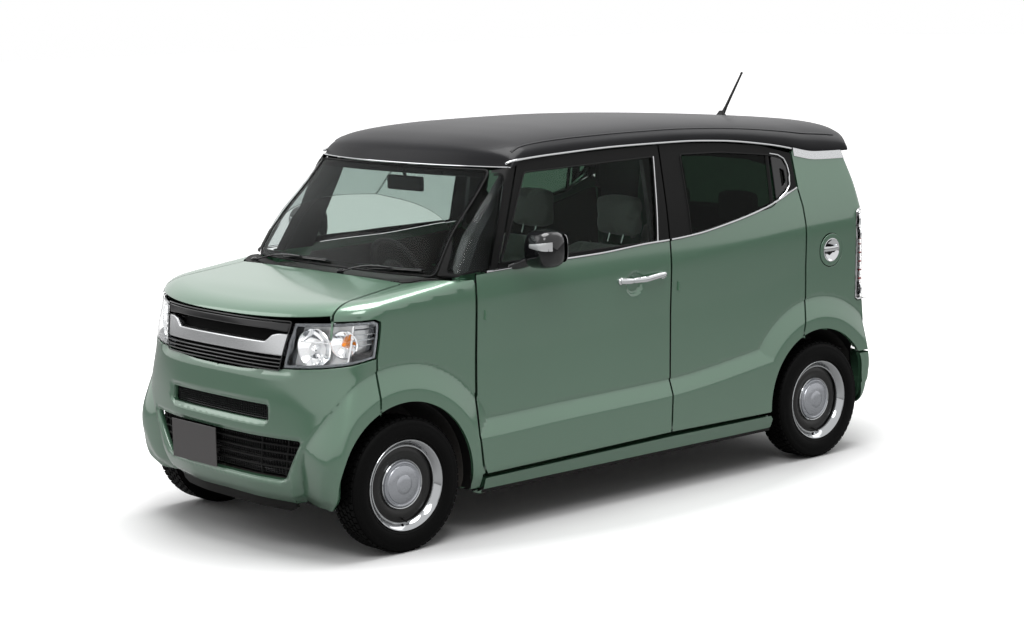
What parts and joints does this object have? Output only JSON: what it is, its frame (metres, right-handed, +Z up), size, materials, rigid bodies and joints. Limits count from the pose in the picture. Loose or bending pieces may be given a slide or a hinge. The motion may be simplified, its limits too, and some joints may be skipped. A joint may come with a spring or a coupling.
{
  "type": "kei car",
  "caption": "Tall five-door kei wagon with two-tone roof, opening doors, hood, tailgate and fuel lid, steered front wheels and four turning wheels.",
  "frame": {"origin": "on the ground under the middle of the body", "axes": "+X to the car's left, +Y to its rear, +Z up"},
  "size_m": [1.835, 3.395, 1.8218],
  "materials": {
    "body_green": "satin",
    "roof_black": "satin",
    "dark_trim": "matte",
    "chrome_trim": "polished",
    "lamp_clear": "polished",
    "glass_tint": "polished",
    "glass_dark": "polished",
    "cabin_dark": "matte",
    "tyre_rubber": "matte",
    "rim_steel": "gloss",
    "bare_steel": "satin",
    "cast_metal": "satin",
    "plate_grey": "satin"
  },
  "bodies": {
    "body": {"floor_pan": "bare_steel", "front_bulkhead": "bare_steel", "rear_wheel_wells": "bare_steel", "side_skin_left": "body_green", "side_skin_right": "body_green", "side_frame_left": "body_green", "side_frame_right": "body_green", "roof_panel": "roof_black", "front_fenders": "body_green", "front_bumper": "body_green", "rear_bumper": "body_green", "grille": "chrome_trim", "headlamps": "lamp_clear", "tail_lamps": "lamp_clear", "windscreen": "glass_tint", "quarter_windows": "glass_tint", "cowl_panel": "dark_trim", "dashboard": "dark_trim", "front_seat": "cabin_dark", "rear_seat": "cabin_dark", "engine_block": "cast_metal", "fuel_tank": "bare_steel", "rear_axle_beam": "bare_steel", "front_subframe": "bare_steel", "exhaust": "bare_steel", "number_plate": "plate_grey", "antenna": "dark_trim", "wipers": "dark_trim"},
    "hood": {"hood": "body_green"},
    "front_door_left": {"front_door_left": "body_green", "front_door_glass_left": "glass_tint", "door_mirror_left": "dark_trim"},
    "front_door_right": {"front_door_right": "body_green", "front_door_glass_right": "glass_tint", "door_mirror_right": "dark_trim"},
    "rear_door_left": {"rear_door_left": "body_green", "rear_door_glass_left": "glass_dark"},
    "rear_door_right": {"rear_door_right": "body_green", "rear_door_glass_right": "glass_dark"},
    "tailgate": {"tailgate": "body_green", "tailgate_glass": "glass_dark"},
    "fuel_lid": {"fuel_lid": "body_green"},
    "knuckle_left": {"knuckle_left": "cast_metal"},
    "knuckle_right": {"knuckle_right": "cast_metal"},
    "front_left_wheel": {"front_left_tyre": "tyre_rubber", "front_left_rim": "rim_steel"},
    "front_right_wheel": {"front_right_tyre": "tyre_rubber", "front_right_rim": "rim_steel"},
    "rear_left_wheel": {"rear_left_tyre": "tyre_rubber", "rear_left_rim": "rim_steel"},
    "rear_right_wheel": {"rear_right_tyre": "tyre_rubber", "rear_right_rim": "rim_steel"},
    "steering_wheel": {"steering_wheel": "dark_trim"}
  },
  "joints": [
    {"name": "hood_hinge", "type": "hinge", "parent": "body", "child": "hood", "pos_m": [0, -1.144, 1.0648], "axis": [-1, 0, 0], "range_deg": [0, 55]},
    {"name": "front_door_left_hinge", "type": "hinge", "parent": "body", "child": "front_door_left", "pos_m": [0.7235, -0.816, 0.6], "axis": [0, 0, -1], "range_deg": [0, 65]},
    {"name": "front_door_right_hinge", "type": "hinge", "parent": "body", "child": "front_door_right", "pos_m": [-0.7235, -0.816, 0.6], "axis": [0, 0, 1], "range_deg": [0, 65]},
    {"name": "rear_door_left_hinge", "type": "hinge", "parent": "body", "child": "rear_door_left", "pos_m": [0.7235, 0.322, 0.6], "axis": [0, 0, -1], "range_deg": [0, 75]},
    {"name": "rear_door_right_hinge", "type": "hinge", "parent": "body", "child": "rear_door_right", "pos_m": [-0.7235, 0.322, 0.6], "axis": [0, 0, 1], "range_deg": [0, 75]},
    {"name": "tailgate_hinge", "type": "hinge", "parent": "body", "child": "tailgate", "pos_m": [0, 1.5695, 1.542], "axis": [1, 0, 0], "range_deg": [0, 80]},
    {"name": "fuel_lid_hinge", "type": "hinge", "parent": "body", "child": "fuel_lid", "pos_m": [0.7315, 1.289, 0.993], "axis": [0, 0, -1], "range_deg": [0, 75]},
    {"name": "steering_left", "type": "hinge", "parent": "body", "child": "knuckle_left", "pos_m": [0.6115, -1.2495, 0.19], "axis": [-0.1491, 0, 0.9888], "range_deg": [-35, 35]},
    {"name": "steering_right", "type": "hinge", "parent": "body", "child": "knuckle_right", "pos_m": [-0.6115, -1.2495, 0.19], "axis": [0.1491, 0, 0.9888], "range_deg": [-35, 35]},
    {"name": "front_left_spin", "type": "hinge", "parent": "knuckle_left", "child": "front_left_wheel", "pos_m": [0.6525, -1.2495, 0.2785], "axis": [1, 0, 0], "continuous": true},
    {"name": "front_right_spin", "type": "hinge", "parent": "knuckle_right", "child": "front_right_wheel", "pos_m": [-0.6525, -1.2495, 0.2785], "axis": [1, 0, 0], "continuous": true},
    {"name": "rear_left_spin", "type": "hinge", "parent": "body", "child": "rear_left_wheel", "pos_m": [0.6525, 1.2705, 0.2785], "axis": [1, 0, 0], "continuous": true},
    {"name": "rear_right_spin", "type": "hinge", "parent": "body", "child": "rear_right_wheel", "pos_m": [-0.6525, 1.2705, 0.2785], "axis": [1, 0, 0], "continuous": true},
    {"name": "steering_wheel_turn", "type": "hinge", "parent": "body", "child": "steering_wheel", "pos_m": [-0.335, -0.4245, 0.985], "axis": [0, 0.8829, 0.4695], "range_deg": [-540, 540]}
  ],
  "couplings": [
    {"joint": "steering_right", "follows": "steering_left", "ratio": 1},
    {"joint": "steering_wheel_turn", "follows": "steering_left", "ratio": -14}
  ]
}
